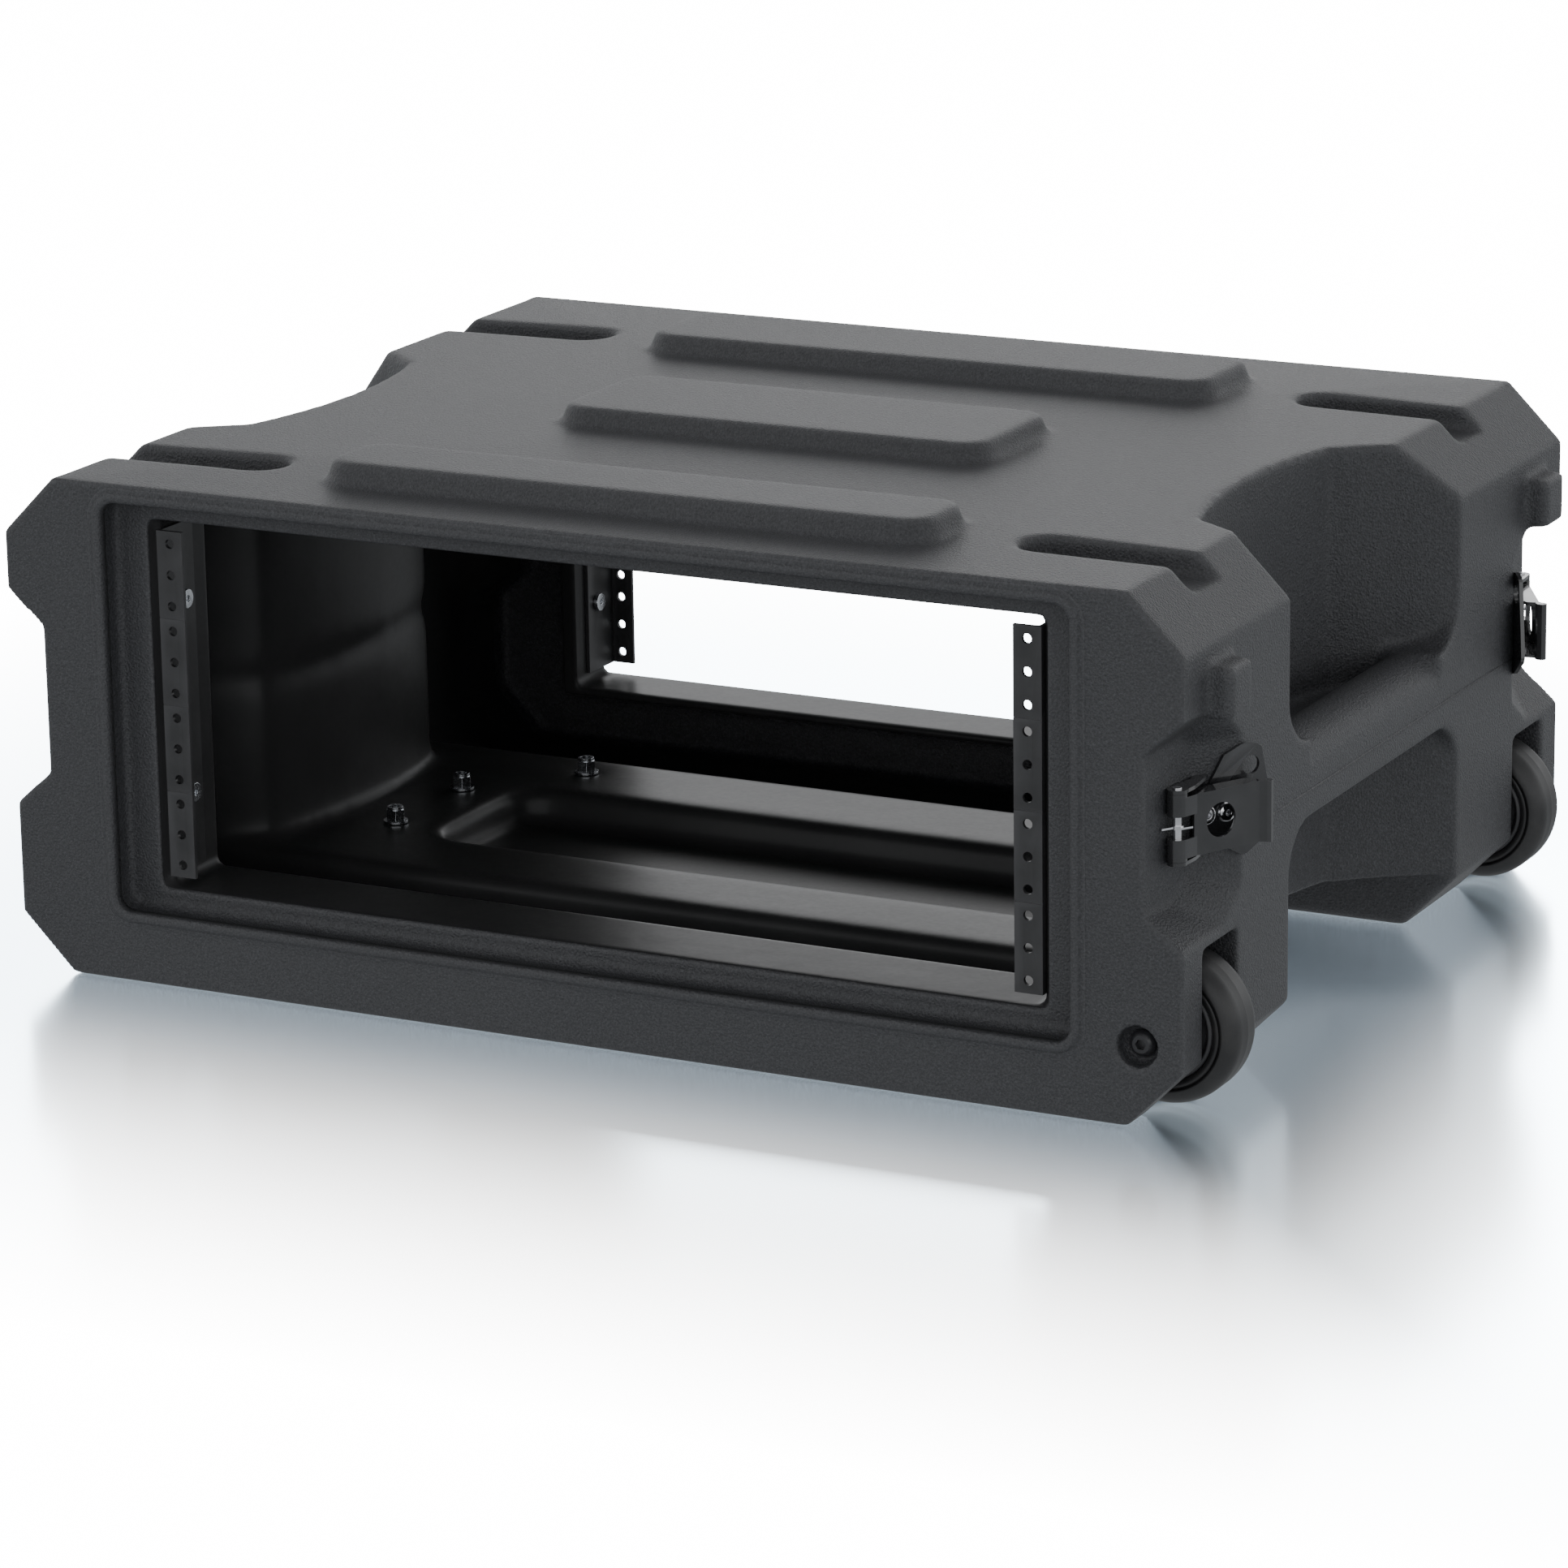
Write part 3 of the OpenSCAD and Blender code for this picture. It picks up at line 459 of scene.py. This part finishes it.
def inner_side_of_faces(mesh, tree):
    """For every triangle of the CAD shell, whether it faces the closed inside of the case."""
    inner = np.zeros(len(mesh.polygons), dtype=bool)
    across = [Vector((0, 0, 1)), Vector((0, 0, -1)), Vector((1, 0, 0)), Vector((-1, 0, 0))]
    for polygon in mesh.polygons:
        start = polygon.center + polygon.normal * mm(1.0)
        inner[polygon.index] = all(tree.ray_cast(start, way)[0] is not None for way in across)
    return inner


def build_shell():
    """The shell as it leaves the mould: rounded edges, pebbled outside, satin inside."""
    source = NODES["shell"]
    copy = source.copy()
    copy.data = source.data.copy()
    SCENE.collection.objects.link(copy)
    remesh = copy.modifiers.new("remesh", "REMESH")
    remesh.mode = "VOXEL"
    remesh.voxel_size = mm(VOXEL_MM)
    graph = bpy.context.evaluated_depsgraph_get()
    mesh = bpy.data.meshes.new_from_object(copy.evaluated_get(graph))
    tree = BVHTree.FromPolygons([v.co for v in source.data.vertices],
                                [p.vertices[:] for p in source.data.polygons])
    inner_face = inner_side_of_faces(source.data, tree)
    bpy.data.objects.remove(copy)

    count = len(mesh.vertices)
    flat = np.empty(count * 3, dtype=np.float32)
    mesh.vertices.foreach_get("co", flat)
    positions = flat.reshape(-1, 3).astype(float)
    links = np.empty(len(mesh.edges) * 2, dtype=np.int32)
    mesh.edges.foreach_get("vertices", links)
    links = links.reshape(-1, 2)
    at = case_millimetres(positions)
    nearest = [tree.find_nearest(Vector(p))[2] for p in positions]
    behind_step = STEP_DEPTH_MM + 1.0
    inner = inner_face[np.array(nearest)]
    inner &= (at[:, 1] > behind_step) & (at[:, 1] < CASE_DEPTH_MM - behind_step)

    front, back = mm(-RAIL_SETBACK_MM), mm(CASE_DEPTH_MM - RAIL_SETBACK_MM)
    positions[:, 1] = positions[:, 1].clip(front, back)
    weights = rounding_weights(at)
    positions = smoothed(positions, links, weights, blur_steps(OUTSIDE_BLUR_MM))
    opening_kept_crisp = 0.2
    extra = np.where(inner & (weights > opening_kept_crisp), 1.0, 0.0)
    positions = smoothed(positions, links, extra, blur_steps(INSIDE_BLUR_MM))
    mesh.vertices.foreach_set("co", positions.astype(np.float32).ravel())

    corners = np.empty(len(mesh.polygons) * 4, dtype=np.int32)
    mesh.polygons.foreach_get("vertices", corners)
    face_inner = inner[corners.reshape(-1, 4)].sum(axis=1) >= 3
    add_piece("moulded_shell", mesh, "case", ("outside", "inside"), ("shell",))
    mesh.polygons.foreach_set("material_index", face_inner.astype(np.int32))
    mesh.polygons.foreach_set("use_smooth", np.ones(len(mesh.polygons), dtype=bool))
    mesh.update()


def rounded_loop(half_w, half_h, radius, y_mm, steps=10):
    """A rounded rectangle round the opening's middle, in a plane of constant y."""
    points = []
    for quarter, (sx, sz) in enumerate(((1, 1), (-1, 1), (-1, -1), (1, -1))):
        for i in range(steps + 1):
            angle = math.radians(90.0 * (quarter + i / steps))
            points.append(case_point(sx * (half_w - radius) + radius * math.cos(angle), y_mm,
                                     RACK_MID_MM + sz * (half_h - radius) + radius * math.sin(angle)))
    return points


STEP_CORNER_MM = 9.0
# offset outward from the step's wall and height above the face; the profile closes inside the shell
BEAD_PROFILE_MM = (
    (-0.5, -4.0), (-0.5, 0.1), (-0.2, 0.8), (0.5, 1.35), (1.6, 1.65), (2.8, 1.65), (3.8, 1.35),
    (4.5, 0.85), (4.8, 0.45), (5.4, 0.38), (6.6, 0.38), (7.1, 0.1), (7.3, -0.6),
)


def build_beads():
    """The rounded lip round each opening, with the fine step outside it."""
    for name, face_y, outward in (("bead_front", 0.0, -1.0), ("bead_rear", CASE_DEPTH_MM, 1.0)):
        rings = [rounded_loop(STEP_HALF_W_MM + d, STEP_HALF_H_MM + d, STEP_CORNER_MM + d,
                              face_y + outward * h) for d, h in BEAD_PROFILE_MM]
        add_piece(name, mesh_from_rings(name, rings), "case", ("outside",))


def build_parting_lines():
    """The fine raised line that the two halves of the mould leave along each side."""
    steps = 48
    from_face = 74.0
    start, end = from_face, CASE_DEPTH_MM - from_face
    taper_part, smallest = 1.0 / 12.0, 0.03
    section = [(-0.4, -1.0), (0.25, -0.75), (0.55, 0.0), (0.25, 0.75), (-0.4, 1.0)]
    for name, side in (("parting_line_right", 1.0), ("parting_line_left", -1.0)):
        rings = []
        for i in range(steps + 1):
            t = i / steps
            taper = min(1.0, t / taper_part, (1.0 - t) / taper_part) * (1.0 - smallest) + smallest
            along = start + (end - start) * t
            rings.append([case_point(side * (SIDE_X_MM + out * taper), along, PARTING_LINE_MM + up * taper)
                          for out, up in section])
        add_piece(name, mesh_from_rings(name, rings, capped=True), "case", ("outside",))


# ---------------------------------------------------------------- the other pieces

# edge rounding of each node; the first entry that its name starts with counts
BEVEL_OF_NODE_MM = (
    ("tow_block", 1.6), ("tow_grip", 1.4), ("tow_bolts", 0.4), ("tow_nuts", 0.45), ("tow", 0.5),
    ("rail_screws", 0.35), ("rail_nuts", 0.35), ("rail", 0.3), ("hub", 0.7), ("axle_bolt", 0.4),
    ("axle", 0.3), ("latch_base", 0.35), ("latch_lever", 0.5), ("latch", 0.3),
)


def build_rounded_copy(node_name, bevel_mm):
    """The CAD piece with merged faces, rounded edges and smooth normals."""
    flat_angle, bevelled_angle, creased_angle = (math.radians(a) for a in (1.0, 28.0, 42.0))
    source = NODES[node_name]
    work = bmesh.new()
    work.from_mesh(source.data)
    bmesh.ops.remove_doubles(work, verts=work.verts, dist=mm(0.002))
    bmesh.ops.dissolve_limit(work, angle_limit=flat_angle, verts=work.verts, edges=work.edges)
    sharp = [e for e in work.edges if e.is_manifold and e.calc_face_angle(0.0) > bevelled_angle]
    bmesh.ops.bevel(work, geom=sharp, offset=mm(bevel_mm), offset_type="OFFSET", segments=2,
                    profile=0.5, affect="EDGES", clamp_overlap=True)
    mesh = bpy.data.meshes.new(node_name + "_rounded")
    work.to_mesh(mesh)
    work.free()
    mesh.polygons.foreach_set("use_smooth", [True] * len(mesh.polygons))
    mesh.set_sharp_from_angle(angle=creased_angle)
    key = by_prefix(MATERIAL_OF_NODE, node_name)
    piece = add_piece(node_name + "_rounded", mesh, body_of_node(source), (key,), (node_name,))
    weighted = piece.modifiers.new("weighted", "WEIGHTED_NORMAL")
    weighted.keep_sharp = True


def build_tyre(node_name):
    """A moulded rubber tyre with rounded shoulders, side grooves and a faint mould line."""
    low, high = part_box(node_name)
    centre = [(a + b) / 2.0 for a, b in zip(low, high)]
    radius_mm = (high[2] - low[2]) / 2.0 * 1000.0
    half_mm = (high[1] - low[1]) / 2.0 * 1000.0
    shoulder_mm, shoulder_steps = 8.5, 8
    # radius and distance from the middle plane: the bore's edge, the lip and the groove beside it
    half_side = [(25.0, half_mm - 3.0), (25.4, half_mm - 1.6), (26.6, half_mm - 0.6),
                 (28.2, half_mm - 0.3), (28.7, half_mm - 0.9), (29.3, half_mm - 0.9),
                 (29.8, half_mm - 0.1)]
    for i in range(shoulder_steps + 1):
        angle = math.radians(90.0 * i / shoulder_steps)
        half_side.append((radius_mm - shoulder_mm + shoulder_mm * math.sin(angle),
                          half_mm - shoulder_mm + shoulder_mm * math.cos(angle)))
    half_side += [(radius_mm - 0.05, 0.5), (radius_mm, 0.25)]
    profile = half_side + [(r, -y) for r, y in reversed(half_side)]
    segments = 160
    turns = [2.0 * math.pi * k / segments for k in range(segments)]
    rings = [[(centre[0] + mm(r * math.cos(turn)), centre[1] + mm(y), centre[2] + mm(r * math.sin(turn)))
              for turn in turns] for r, y in profile]
    mesh = mesh_from_rings(node_name + "_moulded", rings)
    add_piece(node_name + "_moulded", mesh, body_of_node(NODES[node_name]), ("tyre",), (node_name,))


build_shell()
build_beads()
build_parting_lines()
for node_name in NODES:
    if node_name.startswith("tyre"):
        build_tyre(node_name)
    elif node_name != "shell":
        build_rounded_copy(node_name, by_prefix(BEVEL_OF_NODE_MM, node_name))


# ---------------------------------------------------------------- camera, floor and light

WHITE_TO_CAMERA = 16.0  # far above 1, so that the view transform still gives pure white


def make_camera():
    """A long lens, from the right of the front and a little above."""
    azimuth, elevation, roll = math.radians(27.19), math.radians(15.79), math.radians(0.91)
    distance = 3.245
    aim = Vector((-0.0121, 0.2295, -0.0745))
    back = Vector((math.sin(azimuth) * math.cos(elevation), -math.cos(azimuth) * math.cos(elevation),
                   math.sin(elevation)))
    data = bpy.data.cameras.new("camera")
    data.sensor_width = 36.0
    data.lens = 144.58
    camera = bpy.data.objects.new("camera", data)
    SCENE.collection.objects.link(camera)
    camera.rotation_mode = "QUATERNION"
    camera.location = aim + back * distance
    camera.rotation_quaternion = (-back).to_track_quat("-Z", "Y") @ Quaternion((0.0, 0.0, 1.0), -roll)
    SCENE.camera = camera


def floor_material():
    """A soft mirror under the case that fades to white round it; a faint glow to all but the camera."""
    fade_length, fade_power = 0.43, 2.0
    half_width, half_depth = 0.32, mm(CASE_DEPTH_MM / 2.0)
    middle_y = half_depth - mm(RAIL_SETBACK_MM)
    g = Graph("floor")
    mirror = g.add("ShaderNodeBsdfGlossy")
    mirror.inputs["Color"].default_value = (5.0, 5.7, 6.2, 1.0)
    mirror.inputs["Roughness"].default_value = 0.2
    glow = g.add("ShaderNodeEmission")
    glow.inputs["Color"].default_value = (0.93, 0.97, 1.0, 1.0)
    glow.inputs["Strength"].default_value = 0.5
    white = g.add("ShaderNodeEmission")
    white.inputs["Strength"].default_value = WHITE_TO_CAMERA
    axes = g.axes()
    beside = g.math("SUBTRACT", g.math("ABSOLUTE", axes["X"]), half_width)
    from_middle = g.math("ABSOLUTE", g.math("SUBTRACT", axes["Y"], middle_y))
    before = g.math("SUBTRACT", from_middle, half_depth)
    away = g.math("MAXIMUM", beside, before)
    fade = g.math("POWER", g.remap(away, 0.0, fade_length, 0.0, 1.0), fade_power)
    to_camera = g.mix_shaders(fade, mirror, white)
    is_camera = g.add("ShaderNodeLightPath").outputs["Is Camera Ray"]
    surface = g.mix_shaders(is_camera, glow, to_camera)
    g.link(surface.outputs[0], g.tree.nodes["Material Output"].inputs["Surface"])
    return g.material


def make_floor():
    """A wide floor just below the case."""
    half, level = 9.0, mm(-RACK_MID_MM - 0.3)
    corners = [(-half, -half, level), (half, -half, level), (half, half, level), (-half, half, level)]
    mesh = bpy.data.meshes.new("floor")
    mesh.from_pydata(corners, [], [(0, 1, 2, 3)])
    mesh.materials.append(floor_material())
    floor = bpy.data.objects.new("floor", mesh)
    SCENE.collection.objects.link(floor)


def add_area_light(name, location, target, size, power):
    """A white rectangular light at location that points at target."""
    data = bpy.data.lights.new(name, "AREA")
    data.shape = "RECTANGLE"
    data.size, data.size_y = size
    data.energy = power
    light = bpy.data.objects.new(name, data)
    SCENE.collection.objects.link(light)
    light.location = location
    light.rotation_mode = "QUATERNION"
    light.rotation_quaternion = (Vector(target) - Vector(location)).to_track_quat("-Z", "Y")


def world_range(tree, value, low, high, out_low, out_high):
    """A value from low to high, mapped to between out_low and out_high."""
    node = tree.nodes.new("ShaderNodeMapRange")
    for name, setting in (("From Min", low), ("From Max", high), ("To Min", out_low), ("To Max", out_high)):
        node.inputs[name].default_value = setting
    tree.links.new(value, node.inputs["Value"])
    return node.outputs["Result"]


def make_world():
    """White backdrop, far brighter to the camera; its light on the case is weaker from overhead."""
    world = bpy.data.worlds.new("studio")
    world.use_nodes = True
    SCENE.world = world
    tree = world.node_tree
    tree.nodes.clear()
    path = tree.nodes.new("ShaderNodeLightPath")
    seen = tree.nodes.new("ShaderNodeBackground")
    seen.inputs["Strength"].default_value = WHITE_TO_CAMERA
    fill = tree.nodes.new("ShaderNodeBackground")
    fill.inputs["Color"].default_value = (0.97, 0.985, 1.0, 1.0)
    way = tree.nodes.new("ShaderNodeTexCoord")
    axes = tree.nodes.new("ShaderNodeSeparateXYZ")
    tree.links.new(way.outputs["Generated"], axes.inputs[0])
    behind = world_range(tree, axes.outputs["Y"], 0.1, 0.95, 1.5, 1.35)
    overhead = world_range(tree, axes.outputs["Z"], 0.28, 0.62, 1.0, 0.28)
    strength = tree.nodes.new("ShaderNodeMath")
    strength.operation = "MULTIPLY"
    mix = tree.nodes.new("ShaderNodeMixShader")
    out = tree.nodes.new("ShaderNodeOutputWorld")
    tree.links.new(behind, strength.inputs[0])
    tree.links.new(overhead, strength.inputs[1])
    tree.links.new(strength.outputs[0], fill.inputs["Strength"])
    tree.links.new(path.outputs["Is Camera Ray"], mix.inputs["Fac"])
    tree.links.new(fill.outputs[0], mix.inputs[1])
    tree.links.new(seen.outputs[0], mix.inputs[2])
    tree.links.new(mix.outputs[0], out.inputs["Surface"])


make_camera()
make_floor()
make_world()
add_area_light("overhead", (0.1, 0.6, 1.9), (0.0, 0.25, 0.0), (2.4, 1.6), 4.0)
add_area_light("back", (-0.75, 2.75, 0.95), (0.1, 0.2, 0.0), (1.7, 0.9), 5.0)
